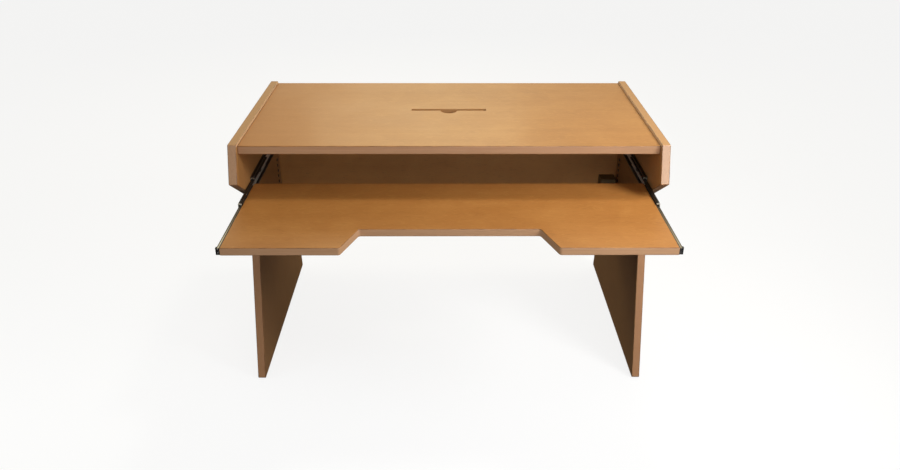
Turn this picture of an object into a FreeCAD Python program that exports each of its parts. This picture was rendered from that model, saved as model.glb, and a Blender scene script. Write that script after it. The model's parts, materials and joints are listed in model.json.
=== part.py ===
import FreeCAD, Part
import os
import re
import Sketcher

# Studio desk with a pull-out keyboard tray on full-extension ball slides.
# Millimetres, +Z up, +Y to the back, the tray drawn at its full reach.
# Formulas are written in desk coordinates: X from the centre line,
# Y from the front top corner of the gables, Z from the floor.

# Driving dimensions, one alias each
SIZES = {
    # Gables, one board each: cheek, leg and foot
    "desk_width": 1250,
    "gable_thickness": 25,
    "gable_height": 811,
    "gable_top_depth": 634,
    "cheek_drop": 107,
    "cheek_lean": 37,
    "notch_depth": 160,
    "notch_drop": 235,
    "notch_radius": 25,
    "foot_toe": 4,
    "foot_rear": 754,
    "board_corner": 4,
    "board_arris": 2.5,
    "glide_height": 3,
    "glide_diameter": 22,
    "glide_inset": 45,
    "nail_diameter": 3,
    "nail_length": 18,
    # Top panel
    "top_thickness": 25,
    "top_drop": 7,
    "top_setback": 9,
    "slot_length": 238,
    "slot_width": 18,
    "slot_front": 325,
    "slot_notch_radius": 26,
    # Back panel
    "back_thickness": 18,
    "back_gap": 17,
    "back_height": 380,
    # Keyboard tray
    "tray_thickness": 22,
    "tray_overhang": 12,
    "tray_reach": 317,
    "bay_height": 127,
    "tray_arris": 2,
    "cutout_depth": 106,
    "cutout_front": 564,
    "cutout_inner": 486,
    "cutout_corner": 8,
    # Ball slides
    "slide_gap": 12.7,
    "slide_height": 46,
    "slide_length": 400,
    "slide_front": 108,
    "slide_sheet": 1.2,
    "tray_member_setback": 2,
    "middle_reach": 65,
    "middle_setback": 27,
    "bumper_length": 8,
    "bumper_gap": 0.5,
    "ball_diameter": 5,
    "ball_play": 0.15,
    "flange_step": 2.4,
    "race_wall": 1.5,
    "groove_depth": 0.4,
    "curl_hook": 1,
    "curl_offset": 0.35,
    "lip_sheet": 0.65,
    "lip_gap": 0.3,
    "cage_sheet": 0.5,
    "cage_drop": 1.25,
    "web_gap": 0.25,
    "outer_cage_length": 96,
    "outer_cage_start": 12,
    "inner_cage_length": 110,
    "inner_cage_start": 20,
    "cage_end": 10,
    "cap_length": 6,
    "front_cap_length": 8,
    "front_cap_bar": 4,
    "front_cap_bridge": 5,
    "access_length": 26,
    "access_height": 11,
    "access_setback": 70,
    # Slide screws
    "screw_diameter": 3.5,
    "screw_length": 16,
    "screw_head_diameter": 7,
    "screw_head_height": 2,
    "screw_front": 35,
    "screw_rear": 22,
    # Rows of sleeved shelf-pin holes in the gables
    "row_drop": 69,
    "row_pitch": 20,
    "row_diameter": 7,
    "row_depth": 12,
    "sleeve_bore": 5,
    "sleeve_length": 10,
    "sleeve_flange": 1.5,
    "sleeve_flange_diameter": 10.5,
    "row_rear": 39,
    "row_spacing": 240,
    # Knock-down fittings
    "cam_diameter": 15,
    "cam_inset": 34,
    "cam_over": 3.5,
    "bolt_thread_diameter": 6,
    "bolt_thread_length": 11,
    "bolt_shank_diameter": 6.8,
    "bolt_neck_diameter": 3.8,
    "bolt_head_length": 4,
    "top_cam_inset": 75,
    "back_cam_inset": 70,
    "dowel_diameter": 8,
    "dowel_length": 30,
    "dowel_in_board": 12,
    "top_dowel_inset": 45,
    "back_dowel_inset": 150,
    "rail_dowel_inset": 200,
    "fit_play": 0.1,
    "end_play": 1,
    # Small cable box in the right rear corner
    "box_width": 52,
    "box_depth": 46,
    "box_height": 92,
    "box_rise": 9,
    "box_side_gap": 8,
    "box_wall": 2.5,
    "box_post_diameter": 9,
    "box_screw_diameter": 3,
    "box_screw_length": 12,
    "box_screw_head_diameter": 6,
    "box_screw_head_height": 1.6,
    "box_post_inset": 14,
    "box_mount_inset": 30,
    "box_mount_side": 9,
}
BALLS_PER_ROW = 6
ROW_HOLES = 6
SIDES = ("left", "right")

doc = FreeCAD.newDocument("studio_desk")
sheet = doc.addObject("Spreadsheet::Sheet", "Dims")
for row, (alias, size) in enumerate(SIZES.items(), start=1):
    sheet.set(f"A{row}", alias)
    sheet.set(f"B{row}", str(size))
    sheet.setAlias(f"B{row}", alias)
doc.recompute()

# Derived places, as formulas
SHIFT = "((foot_rear - tray_reach) / 2)"
INNER = "(desk_width / 2 - gable_thickness)"
GABLE_TOP = "(glide_height + gable_height)"
TOP_UNDER = f"({GABLE_TOP} - top_drop - top_thickness)"
TRAY_HALF = f"({INNER} - slide_gap)"
TRAY_UNDER = f"({TOP_UNDER} - bay_height - tray_thickness)"
TRAY_DEPTH = "(slide_length + tray_overhang)"
BACK_FRONT = "(slide_front + slide_length + back_gap)"
BACK_REAR = f"({BACK_FRONT} + back_thickness)"
BACK_UNDER = f"({TOP_UNDER} - back_height)"

# Slide section, measured from the gable's face and up or down from the slide's axis
AXIS_Z = f"({TRAY_UNDER} + tray_thickness / 2)"
RACE = "(ball_diameter / 2 + ball_play)"
CURL = f"({RACE} + slide_sheet)"
OUTER_BALL = f"(slide_height / 2 - {CURL})"
INNER_BALL = f"({OUTER_BALL} - 2 * {RACE} + 2 * groove_depth - flange_step)"
OUTER_RACE = f"({CURL} + curl_offset)"
INNER_RACE = f"(slide_gap - slide_sheet - lip_gap - lip_sheet - {RACE})"
OUTER_CAGE_NEAR = "(slide_sheet + web_gap)"
MIDDLE_NEAR = f"({OUTER_CAGE_NEAR} + cage_sheet + web_gap)"
MIDDLE_FAR = f"({MIDDLE_NEAR} + slide_sheet)"
INNER_CAGE_NEAR = f"({MIDDLE_FAR} + web_gap)"
INNER_CAGE_FAR = f"({INNER_CAGE_NEAR} + cage_sheet)"
UPPER_FLANGE = f"({OUTER_BALL} - {RACE} + groove_depth)"
LOWER_FLANGE = f"({INNER_BALL} + {RACE} - groove_depth)"
TRAY_FLANGE = f"({INNER_BALL} - {RACE} + groove_depth)"
TRAY_WEB = "(slide_gap - slide_sheet)"
CAGE_HOLE = "(sqrt((ball_diameter / 2) ^ 2 - cage_drop ^ 2) + ball_play)"
SHELF = f"({UPPER_FLANGE} - race_wall)"

# Slide lengths along Y
MIDDLE_FRONT = "(-middle_reach)"
MIDDLE_LENGTH = "(slide_length - middle_setback - bumper_length - bumper_gap)"
TRAY_MEMBER_FRONT = "(tray_member_setback - tray_reach)"
SCREW_PLACES = (
    "screw_front",
    "((screw_front + slide_length - screw_rear) / 2)",
    "(slide_length - screw_rear)",
)

# Turns that take a piece's own Z axis to X, Y or Z
ALONG = {
    "x": FreeCAD.Rotation(FreeCAD.Vector(0, 1, 0), 90),
    "y": FreeCAD.Rotation(FreeCAD.Vector(1, 0, 0), -90),
    "z": FreeCAD.Rotation(),
}
nodes = []


def formula(text):
    """Expression with each alias pointed at its cell in the sheet."""
    return re.sub(r"[a-z_]+", lambda word: f"Dims.{word[0]}" if word[0] in SIZES else word[0], text)


def value(text):
    """Present number of a formula, used to draw a sketch before it is constrained."""
    return float(sheet.evalExpression(formula(text)))


def bind(item, **formulas):
    """Tie properties of a feature to formulas."""
    for name, text in formulas.items():
        item.setExpression(name, formula(text))


def place(item, x, y, z, along="z"):
    """Put a piece at desk coordinates; the frame's origin lies under the middle of the whole desk."""
    item.Placement = FreeCAD.Placement(FreeCAD.Vector(), ALONG[along])
    item.setExpression("Placement.Base.x", formula(x))
    item.setExpression("Placement.Base.y", formula(f"{y} - {SHIFT}"))
    item.setExpression("Placement.Base.z", formula(z))


def block(name, corner, size):
    """Box from its low corner and its three sizes."""
    item = doc.addObject("Part::Box", name)
    bind(item, Length=size[0], Width=size[1], Height=size[2])
    place(item, *corner)
    return item


def rod(name, base, along, radius, length):
    """Cylinder from the centre of its low end."""
    item = doc.addObject("Part::Cylinder", name)
    bind(item, Radius=radius, Height=length)
    place(item, *base, along)
    return item


def cone(name, base, along, low_radius, high_radius, length):
    """Frustum from the centre of its low end."""
    item = doc.addObject("Part::Cone", name)
    bind(item, Radius1=low_radius, Radius2=high_radius, Height=length)
    place(item, *base, along)
    return item


def ball(name, centre, radius):
    """Sphere about its centre."""
    item = doc.addObject("Part::Sphere", name)
    bind(item, Radius=radius)
    place(item, *centre)
    return item


def fuse(name, pieces):
    """One solid from pieces that overlap or touch."""
    item = doc.addObject("Part::MultiFuse", name)
    item.Shapes = pieces
    item.Refine = True
    return item


def group(name, pieces):
    """Separate solids kept together."""
    item = doc.addObject("Part::Compound", name)
    item.Links = pieces
    return item


def cut(name, base, tools):
    """Base less the tools."""
    item = doc.addObject("Part::Cut", name)
    item.Base = base
    item.Tool = group(name + "_tools", tools)
    item.Refine = True
    return item


def node(label, item):
    """Register a finished piece under its node's name."""
    item.Label = label
    nodes.append(item)


def board_sketch(body, role, name):
    """Empty sketch on one of the body's own origin planes."""
    plane = next(item for item in body.Origin.OriginFeatures if item.Role == role)
    sketch = body.newObject("Sketcher::SketchObject", name)
    sketch.AttachmentSupport = [(plane, "")]
    sketch.MapMode = "FlatFace"
    return sketch


def pin_point(sketch, curve, point, across, up):
    """Hold a point of a sketch curve at two formulas from the sketch's origin."""
    for kind, text in (("DistanceX", across), ("DistanceY", up)):
        index = sketch.addConstraint(Sketcher.Constraint(kind, -1, 1, curve, point, value(text)))
        sketch.setExpression(f"Constraints[{index}]", formula(text))


def draw_outline(sketch, corners):
    """Closed outline of straight lines through corners that are pairs of formulas."""
    points = [FreeCAD.Vector(value(across), value(up), 0) for across, up in corners]
    count = len(points)
    for index in range(count):
        sketch.addGeometry(Part.LineSegment(points[index], points[(index + 1) % count]), False)
    for index in range(count):
        sketch.addConstraint(Sketcher.Constraint("Coincident", index, 2, (index + 1) % count, 1))
    for index, (across, up) in enumerate(corners):
        pin_point(sketch, index, 1, across, up)


def pad_sketch(body, name, sketch, thickness):
    """Board made by thickening an outline."""
    pad = body.newObject("PartDesign::Pad", name)
    pad.Profile = sketch
    bind(pad, Length=thickness)
    doc.recompute()
    return pad


def round_edges(body, name, base, chosen, radius):
    """Round the edges of a feature for which chosen(edge) holds."""
    names = [f"Edge{index}" for index, edge in enumerate(base.Shape.Edges, start=1) if chosen(edge)]
    fillet = body.newObject("PartDesign::Fillet", name)
    fillet.Base = (base, names)
    bind(fillet, Radius=radius)
    doc.recompute()
    return fillet


def from_gable(side, near, far):
    """Low X of what lies between two distances from a gable's inner face."""
    return f"-{INNER} + {near}" if side == "left" else f"{INNER} - ({far})"


def both_ways(distance, size):
    """Low Z offsets, above and below the slide's axis, of what lies outward from a distance."""
    return {"upper": distance, "lower": f"-({distance}) - ({size})"}


def gable(side, bores):
    """Cheek, leg and foot in one leaning board, with its bores."""
    body = doc.addObject("PartDesign::Body", f"{side}_gable_board")
    outline = board_sketch(body, "YZ_Plane", f"{side}_gable_outline")
    draw_outline(outline, [
        ("0", "gable_height"),
        ("-cheek_lean", "gable_height - cheek_drop"),
        ("notch_depth", "gable_height - notch_drop"),
        ("-foot_toe", "0"),
        ("foot_rear", "0"),
        ("gable_top_depth", "gable_height"),
    ])
    pad = pad_sketch(body, f"{side}_gable_pad", outline, "gable_thickness")
    notch = FreeCAD.Vector(0, value("notch_depth"), value("gable_height - notch_drop"))
    touch = 0.01

    def in_notch(edge):
        return edge.BoundBox.XLength > touch and edge.distToShape(Part.Vertex(notch))[0] < touch

    def at_corner(edge):
        crosses = edge.BoundBox.XLength > touch and edge.BoundBox.YLength < touch
        return crosses and edge.distToShape(Part.Vertex(notch))[0] > 2 * value("notch_radius")

    def on_face(edge):
        return edge.BoundBox.XLength < touch

    inner = round_edges(body, f"{side}_gable_notch", pad, in_notch, "notch_radius")
    outer = round_edges(body, f"{side}_gable_corners", inner, at_corner, "board_corner")
    round_edges(body, f"{side}_gable_arris", outer, on_face, "board_arris")
    place(body, from_gable(side, "(-gable_thickness)", "0"), "0", "glide_height")
    node(f"{side}_gable", cut(f"{side}_gable_drilled", body, bores))


def top_panel(bores):
    """Work surface between the gables, with a slot that widens in a half-round notch."""
    body = doc.addObject("PartDesign::Body", "top_board")
    outline = board_sketch(body, "XY_Plane", "top_outline")
    draw_outline(outline, [
        (f"-{INNER}", "top_setback"),
        (INNER, "top_setback"),
        (INNER, "gable_top_depth"),
        (f"-{INNER}", "gable_top_depth"),
    ])
    pad = pad_sketch(body, "top_pad", outline, "top_thickness")
    touch = 0.01

    def is_long(edge):
        return edge.BoundBox.YLength < touch and edge.BoundBox.ZLength < touch

    round_edges(body, "top_arris", pad, is_long, "board_arris")
    slot = board_sketch(body, "XY_Plane", "slot_outline")
    draw_slot(slot)
    pocket = body.newObject("PartDesign::Pocket", "slot_pocket")
    pocket.Profile = slot
    pocket.Type = "ThroughAll"
    pocket.Reversed = True
    place(body, "0", "0", TOP_UNDER)
    node("top_panel", cut("top_drilled", body, bores))


def draw_slot(sketch):
    """Slot outline: a rectangle whose front edge opens into a half disc."""
    rear = "slot_front + slot_width"
    corners = [
        ("-slot_notch_radius", "slot_front"),
        ("-slot_length / 2", "slot_front"),
        ("-slot_length / 2", rear),
        ("slot_length / 2", rear),
        ("slot_length / 2", "slot_front"),
        ("slot_notch_radius", "slot_front"),
    ]
    points = [FreeCAD.Vector(value(across), value(up), 0) for across, up in corners]
    for start, end in zip(points, points[1:]):
        sketch.addGeometry(Part.LineSegment(start, end), False)
    centre = FreeCAD.Vector(0, value("slot_front"), 0)
    middle = centre - FreeCAD.Vector(0, value("slot_notch_radius"), 0)
    arc = len(points) - 1
    sketch.addGeometry(Part.Arc(points[0], middle, points[-1]), False)
    for index in range(arc - 1):
        sketch.addConstraint(Sketcher.Constraint("Coincident", index, 2, index + 1, 1))
    sketch.addConstraint(Sketcher.Constraint("Coincident", arc, 1, 0, 1))
    sketch.addConstraint(Sketcher.Constraint("Coincident", arc, 2, arc - 1, 2))
    for index, (across, up) in enumerate(corners[:-1]):
        pin_point(sketch, index, 1, across, up)
    pin_point(sketch, arc, 3, "0", "slot_front")


def back_panel(bores):
    """Upright board under the top that braces the gables."""
    board = block(
        "back_board",
        (f"-{INNER}", BACK_FRONT, BACK_UNDER),
        (f"2 * {INNER}", "back_thickness", "back_height"),
    )
    node("back_panel", cut("back_drilled", board, bores))


def keyboard_tray(bores):
    """Pull-out shelf with a trapezoid cut-out for the player."""
    body = doc.addObject("PartDesign::Body", "tray_board")
    outline = board_sketch(body, "XY_Plane", "tray_outline")
    cutout_rear = "cutout_depth - tray_reach"
    rear = f"{TRAY_DEPTH} - tray_reach"
    draw_outline(outline, [
        (f"-{TRAY_HALF}", "-tray_reach"),
        ("-cutout_front / 2", "-tray_reach"),
        ("-cutout_inner / 2", cutout_rear),
        ("cutout_inner / 2", cutout_rear),
        ("cutout_front / 2", "-tray_reach"),
        (TRAY_HALF, "-tray_reach"),
        (TRAY_HALF, rear),
        (f"-{TRAY_HALF}", rear),
    ])
    pad = pad_sketch(body, "tray_pad", outline, "tray_thickness")
    touch = 0.01

    def in_cutout(edge):
        upright = edge.BoundBox.ZLength > touch and edge.BoundBox.XLength < touch
        return upright and abs(edge.CenterOfMass.x) < value("cutout_front") / 2 + touch

    def on_face(edge):
        return edge.BoundBox.ZLength < touch

    eased = round_edges(body, "tray_cutout_corners", pad, in_cutout, "cutout_corner")
    round_edges(body, "tray_arris_round", eased, on_face, "tray_arris")
    place(body, "0", "0", TRAY_UNDER)
    node("keyboard_tray", cut("tray_drilled", body, bores))


def strip(name, side, near, far, low, height, front, length):
    """Flat strip of a slide member: distances from the gable, offset from the slide's axis, run in Y."""
    corner = (from_gable(side, near, far), front, f"{AXIS_Z} + {low}")
    return block(name, corner, (f"({far}) - ({near})", length, height))


def race(name, side, inset, offset, radius, front, length):
    """Rod along a row of balls, used to roll a curl or a groove."""
    base = (from_gable(side, inset, inset), front, f"{AXIS_Z} + {offset}")
    return rod(name, base, "y", radius, length)


def cabinet_member(side, screw_seats):
    """Channel on the gable whose edges curl round the outer balls."""
    name = f"{side}_cabinet"
    run = ("slide_front", "slide_length")
    pieces = [strip(f"{name}_web", side, "0", "slide_sheet", f"-{OUTER_BALL}", f"2 * {OUTER_BALL}", *run)]
    keep = f"({OUTER_BALL} - curl_hook)"
    spare = f"(2 * {CURL})"
    for part, low in both_ways(f"{keep} - {spare}", spare).items():
        sign = "" if part == "upper" else "-"
        centre = f"{sign}{OUTER_BALL}"
        tube = race(f"{name}_{part}_tube", side, OUTER_RACE, centre, CURL, *run)
        hollow = race(f"{name}_{part}_hollow", side, OUTER_RACE, centre, RACE, *run)
        mouth = strip(f"{name}_{part}_mouth", side, "-slide_sheet", f"2 * {CURL} + slide_sheet",
                      low, spare, *run)
        pieces.append(cut(f"{name}_{part}_curl", tube, [hollow, mouth]))
    node(f"{side}_cabinet_member", cut(f"{name}_section", fuse(f"{name}_sheet", pieces), screw_seats))


def middle_section(name, side, front, length, openings):
    """Middle channel's section: a web, and each way a groove for the outer and one for the inner balls."""
    run = (front, length)
    upper_far = f"({OUTER_RACE} + {RACE})"
    lower_near = f"({upper_far} - slide_sheet)"
    lip_near = f"({INNER_RACE} + {RACE})"
    lip_far = f"({lip_near} + lip_sheet)"
    lip_low = f"({INNER_BALL} + ball_play)"
    lip = f"({LOWER_FLANGE} + race_wall - {lip_low})"
    riser = f"({UPPER_FLANGE} - {LOWER_FLANGE})"
    pieces = [strip(f"{name}_web", side, MIDDLE_NEAR, MIDDLE_FAR, f"-{SHELF}", f"2 * {SHELF}", *run)]
    tools = list(openings)
    for part in ("upper", "lower"):
        low = both_ways(SHELF, "race_wall")[part]
        pieces.append(strip(f"{name}_{part}_shelf", side, MIDDLE_NEAR, upper_far, low, "race_wall", *run))
        low = both_ways(LOWER_FLANGE, riser)[part]
        pieces.append(strip(f"{name}_{part}_riser", side, lower_near, upper_far, low, riser, *run))
        low = both_ways(LOWER_FLANGE, "race_wall")[part]
        pieces.append(strip(f"{name}_{part}_flange", side, lower_near, lip_far, low, "race_wall", *run))
        low = both_ways(lip_low, lip)[part]
        pieces.append(strip(f"{name}_{part}_lip", side, lip_near, lip_far, low, lip, *run))
        sign = "" if part == "upper" else "-"
        tools.append(race(f"{name}_{part}_outer_groove", side, OUTER_RACE,
                          f"{sign}{OUTER_BALL}", RACE, *run))
        tools.append(race(f"{name}_{part}_inner_groove", side, INNER_RACE,
                          f"{sign}{INNER_BALL}", RACE, *run))
    return cut(f"{name}_section", fuse(f"{name}_sheet", pieces), tools)


def access_slot(side):
    """Round-ended slot through the middle member's web, for a driver to reach the screw behind it."""
    name = f"{side}_access"
    x = from_gable(side, MIDDLE_NEAR, MIDDLE_FAR)
    half = "access_height / 2"
    front = f"({MIDDLE_FRONT} + {MIDDLE_LENGTH} - access_setback - access_length / 2 + {half})"
    straight = "(access_length - access_height)"
    pieces = [block(f"{name}_straight", (x, front, f"{AXIS_Z} - {half}"),
                    ("slide_sheet", straight, "access_height"))]
    for end, y in {"front": front, "rear": f"{front} + {straight}"}.items():
        pieces.append(rod(f"{name}_{end}", (x, y, AXIS_Z), "x", half, "slide_sheet"))
    return fuse(f"{name}_slot", pieces)


def middle_member(side):
    """Middle channel, and the moulded cap of the same section on its front end."""
    steel_front = f"({MIDDLE_FRONT} + cap_length)"
    steel_length = f"({MIDDLE_LENGTH} - cap_length)"
    steel = middle_section(f"{side}_middle", side, steel_front, steel_length, [access_slot(side)])
    node(f"{side}_middle_member", steel)
    node(f"{side}_end_cap", middle_section(f"{side}_cap", side, MIDDLE_FRONT, "cap_length", []))


def tray_member(side, screw_seats):
    """Inner channel on the tray's edge, with a groove in each flange."""
    name = f"{side}_tray_rail"
    run = (TRAY_MEMBER_FRONT, "slide_length")
    tip = f"({INNER_CAGE_FAR} + 2 * web_gap)"
    web_low = f"-{TRAY_FLANGE}"
    pieces = [strip(f"{name}_web", side, TRAY_WEB, "slide_gap", web_low, f"2 * {TRAY_FLANGE}", *run)]
    grooves = list(screw_seats)
    for part, low in both_ways(f"({TRAY_FLANGE} - race_wall)", "race_wall").items():
        pieces.append(strip(f"{name}_{part}_flange", side, tip, "slide_gap", low, "race_wall", *run))
        centre = INNER_BALL if part == "upper" else f"-{INNER_BALL}"
        grooves.append(race(f"{name}_{part}_groove", side, INNER_RACE, centre, RACE, *run))
    node(f"{side}_tray_member", cut(f"{name}_section", fuse(f"{name}_sheet", pieces), grooves))


def front_cap(side):
    """Moulded cap in the tray member's front end: a bar inside the channel, one outside, and a bridge."""
    name = f"{side}_front_cap"
    run = (TRAY_MEMBER_FRONT, "front_cap_length")
    inside_near = f"({TRAY_WEB} - front_cap_bar)"
    inside_half = f"({TRAY_FLANGE} - race_wall - fit_play)"
    outside_near = f"({OUTER_CAGE_NEAR} + fit_play)"
    outside_far = f"({outside_near} + front_cap_bar - slide_sheet)"
    outside_half = f"({TRAY_FLANGE} - fit_play)"
    bars = [
        strip(f"{name}_inside", side, inside_near, TRAY_WEB, f"-{inside_half}", f"2 * {inside_half}", *run),
        strip(f"{name}_outside", side, outside_near, outside_far, f"-{outside_half}",
              f"2 * {outside_half}", *run),
        strip(f"{name}_bridge", side, outside_far, inside_near, "-front_cap_bridge / 2",
              "front_cap_bridge", *run),
    ]
    node(name, fuse(f"{name}_moulding", bars))


def ball_cage(side, kind, near, inset, offset, front, length):
    """Folded strip with two rows of holes, and the balls that sit in them."""
    name = f"{side}_{kind}_cage"
    level = f"({offset} - cage_drop - cage_sheet)"
    far = f"({inset} + {RACE})"
    run = (front, length)
    pieces = [strip(f"{name}_web", side, near, f"{near} + cage_sheet", f"-{level}", f"2 * {level}", *run)]
    holes = []
    balls = []
    pitch = f"(({length} - 2 * cage_end) / {BALLS_PER_ROW - 1})"
    for part, low in both_ways(level, "cage_sheet").items():
        pieces.append(strip(f"{name}_{part}_wing", side, near, far, low, "cage_sheet", *run))
        sign = "" if part == "upper" else "-"
        for index in range(BALLS_PER_ROW):
            x = from_gable(side, inset, inset)
            y = f"{front} + cage_end + {index} * {pitch}"
            holes.append(rod(f"{name}_{part}_hole_{index}", (x, y, f"{AXIS_Z} + {low}"), "z",
                             CAGE_HOLE, "cage_sheet"))
            balls.append(ball(f"{name}_{part}_ball_{index}", (x, y, f"{AXIS_Z} + {sign}{offset}"),
                              "ball_diameter / 2"))
    node(name, cut(f"{name}_strip", fuse(f"{name}_sheet", pieces), holes))
    node(f"{side}_{kind}_balls", group(f"{name}_balls", balls))


def rear_bumper(side):
    """Rubber block at the back of the cabinet member that stops the middle member."""
    front = "slide_front + slide_length - bumper_length"
    half = f"({OUTER_BALL} - curl_hook - cage_drop)"
    run = (front, "bumper_length")
    bumper = strip(f"{side}_bumper_block", side, "slide_sheet", TRAY_WEB, f"-{half}", f"2 * {half}", *run)
    node(f"{side}_rear_bumper", bumper)


def countersunk(name, side, y, play, depth):
    """Countersunk screw, or its seat, flush with the web of a cabinet member."""
    reach = f"({depth} - screw_head_height + slide_sheet)"
    seat = "(slide_sheet - screw_head_height)"
    shank_x = from_gable(side, f"({seat} - {reach})", seat)
    head_x = from_gable(side, seat, "slide_sheet")
    shank_radius = f"(screw_diameter / 2 + {play})"
    head_radius = f"(screw_head_diameter / 2 + {play})"
    ends = (shank_radius, head_radius) if side == "left" else (head_radius, shank_radius)
    shank = rod(f"{name}_shank", (shank_x, y, AXIS_Z), "x", shank_radius, reach)
    head = cone(f"{name}_head", (head_x, y, AXIS_Z), "x", *ends, "screw_head_height")
    return fuse(name, [shank, head])


def pan_screw(name, side, y):
    """Pan-head screw from inside a tray member into the tray's edge."""
    head_x = from_gable(side, f"({TRAY_WEB} - screw_head_height)", TRAY_WEB)
    shank_x = from_gable(side, TRAY_WEB, f"({TRAY_WEB} + screw_length)")
    head = rod(f"{name}_head", (head_x, y, AXIS_Z), "x", "screw_head_diameter / 2", "screw_head_height")
    shank = rod(f"{name}_shank", (shank_x, y, AXIS_Z), "x", "screw_diameter / 2", "screw_length")
    return fuse(name, [head, shank])


def pan_bore(name, side, y):
    """Bore for a pan-head screw through a tray member's web into the tray."""
    length = "(screw_length + end_play)"
    base = (from_gable(side, TRAY_WEB, f"({TRAY_WEB} + {length})"), y, AXIS_Z)
    return rod(name, base, "x", "screw_diameter / 2 + fit_play", length)


def pin_rows(side):
    """Two rows of blind holes below the slide, each with a flanged sleeve for the pin of a shelf."""
    holes = []
    sleeves = []
    rear = f"({BACK_FRONT} - row_rear)"
    whole = "(sleeve_length + sleeve_flange)"
    for row_name, y in {"rear": rear, "front": f"{rear} - row_spacing"}.items():
        for index in range(ROW_HOLES):
            name = f"{side}_{row_name}_row_{index}"
            z = f"{AXIS_Z} - row_drop - {index} * row_pitch"
            bottom = (from_gable(side, "(-row_depth)", "0"), y, z)
            holes.append(rod(f"{name}_hole", bottom, "x", "row_diameter / 2 + fit_play", "row_depth"))
            inner_end = (from_gable(side, "(-sleeve_length)", "sleeve_flange"), y, z)
            tube = rod(f"{name}_tube", inner_end, "x", "row_diameter / 2", whole)
            face = (from_gable(side, "0", "sleeve_flange"), y, z)
            flange = rod(f"{name}_flange", face, "x", "sleeve_flange_diameter / 2", "sleeve_flange")
            bore = rod(f"{name}_bore", inner_end, "x", "sleeve_bore / 2", whole)
            sleeves.append(cut(f"{name}_sleeve", fuse(f"{name}_body", [tube, flange]), [bore]))
    return holes, sleeves


def cam_bolt(name, side, y, z):
    """Bolt screwed into a gable, with a waist and a head for a cam to grip."""
    waist = "(cam_inset - cam_diameter / 2 - end_play)"
    neck_end = "(cam_inset - bolt_head_length / 2)"
    pieces = [
        rod(f"{name}_thread", (from_gable(side, "(-bolt_thread_length)", "0"), y, z), "x",
            "bolt_thread_diameter / 2", "bolt_thread_length"),
        rod(f"{name}_shank", (from_gable(side, "0", waist), y, z), "x", "bolt_shank_diameter / 2", waist),
        rod(f"{name}_neck", (from_gable(side, waist, neck_end), y, z), "x",
            "bolt_neck_diameter / 2", f"{neck_end} - {waist}"),
        rod(f"{name}_head", (from_gable(side, neck_end, f"({neck_end} + bolt_head_length)"), y, z), "x",
            "bolt_shank_diameter / 2", "bolt_head_length"),
    ]
    return fuse(name, pieces)


def cam_joint(name, side, y, z, panel_face, panel_thickness, along):
    """Cam lock, its bolt, the gable's bore and the panel's bores for one knock-down joint."""
    height = f"({panel_thickness} / 2 + cam_over)"
    centre_x = from_gable(side, "cam_inset", "cam_inset")
    low = {"z": (centre_x, y, panel_face), "y": (centre_x, f"{panel_face} - {height}", z)}[along]
    bore_length = f"({height} + end_play)"
    bore_low = {"z": low, "y": (centre_x, f"{panel_face} - {bore_length}", z)}[along]
    cam = rod(f"{name}_cam_round", low, along, "cam_diameter / 2 - fit_play", height)
    neck_end = "(cam_inset - bolt_head_length / 2)"
    pocket_half = "(bolt_shank_diameter / 2 + 2 * fit_play)"
    pocket = block(
        f"{name}_cam_pocket",
        (from_gable(side, f"({neck_end} - 2 * fit_play)", f"({neck_end} + bolt_head_length + 2 * fit_play)"),
         f"{y} - {pocket_half}", f"{z} - {pocket_half}"),
        ("bolt_head_length + 4 * fit_play", f"2 * {pocket_half}", f"2 * {pocket_half}"),
    )
    slot_half = "(bolt_neck_diameter / 2 + 2 * fit_play)"
    cam_edge = "(cam_inset - cam_diameter / 2)"
    slot = block(
        f"{name}_cam_slot",
        (from_gable(side, cam_edge, neck_end), f"{y} - {slot_half}", f"{z} - {slot_half}"),
        (f"{neck_end} - {cam_edge}", f"2 * {slot_half}", f"2 * {slot_half}"),
    )
    lock = cut(f"{name}_cam", cam, [pocket, slot])
    bolt = cam_bolt(f"{name}_bolt", side, y, z)
    gable_bore = rod(f"{name}_gable_bore",
                     (from_gable(side, "(-bolt_thread_length - end_play)", "0"), y, z), "x",
                     "bolt_thread_diameter / 2 + fit_play", "bolt_thread_length + end_play")
    edge_bore = rod(f"{name}_edge_bore", (from_gable(side, "0", "cam_inset"), y, z), "x",
                    "bolt_shank_diameter / 2 + fit_play", "cam_inset")
    cam_bore = rod(f"{name}_cam_bore", bore_low, along, "cam_diameter / 2", bore_length)
    return lock, bolt, gable_bore, [edge_bore, cam_bore]


def side_dowel(name, side, y, z):
    """Dowel between a gable and a panel's end, with a bore in each."""
    rest = "(dowel_length - dowel_in_board)"
    dowel = rod(f"{name}_peg", (from_gable(side, "(-dowel_in_board)", rest), y, z), "x",
                "dowel_diameter / 2", "dowel_length")
    gable_bore = rod(f"{name}_gable_bore", (from_gable(side, "(-dowel_in_board - end_play)", "0"), y, z), "x",
                     "dowel_diameter / 2 + fit_play", "dowel_in_board + end_play")
    panel_bore = rod(f"{name}_panel_bore", (from_gable(side, "0", f"({rest} + end_play)"), y, z), "x",
                     "dowel_diameter / 2 + fit_play", f"{rest} + end_play")
    return dowel, gable_bore, panel_bore


def glide(name, side, y):
    """Nail-in glide under a gable, and the bore of its nail."""
    x = from_gable(side, "(-gable_thickness / 2)", "(-gable_thickness / 2)")
    seat = (x, y, "glide_height")
    disc = rod(f"{name}_disc", (x, y, "0"), "z", "glide_diameter / 2", "glide_height")
    nail = rod(f"{name}_nail", seat, "z", "nail_diameter / 2", "nail_length")
    bore = rod(f"{name}_bore", seat, "z", "nail_diameter / 2 + fit_play", "nail_length + end_play")
    return fuse(name, [disc, nail]), bore


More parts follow.
